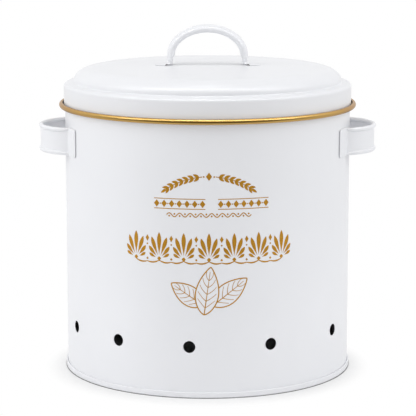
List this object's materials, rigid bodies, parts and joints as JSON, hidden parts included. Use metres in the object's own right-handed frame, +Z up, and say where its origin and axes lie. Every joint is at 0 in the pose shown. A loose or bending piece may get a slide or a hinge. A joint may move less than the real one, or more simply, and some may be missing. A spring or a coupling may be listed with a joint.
{
  "type": "kitchen storage bin",
  "caption": "Round white sheet-steel kitchen storage bin with vent holes near the foot, strap handles on its sides and a lift-off lid with an arched handle and a gold rolled trim ring.",
  "frame": {"origin": "centre of the bounding box in plan, on the surface the bin stands on", "axes": "+Z up; +X towards the bin's right handle as seen from the front; the front faces -Y; the overall height along Z is the longest extent and the depth along Y the shortest"},
  "size_m": [0.285, 0.25, 0.2907],
  "materials": {
    "white_coat": "smooth semi-gloss white powder coat",
    "gold_trim": "bright gold-coloured plating, slightly satin"
  },
  "bodies": {
    "bin": {"body_wall": "white_coat", "base_pan": "white_coat", "side_handle_left": "white_coat", "side_handle_right": "white_coat"},
    "lid": {"lid_shell": "white_coat", "trim_ring": "gold_trim", "lid_handle": "white_coat"}
  },
  "joints": [
    {"name": "lid_lift", "type": "slide", "parent": "bin", "child": "lid", "axis": [0, 0, 1], "range_m": [0, 0.2]}
  ]
}
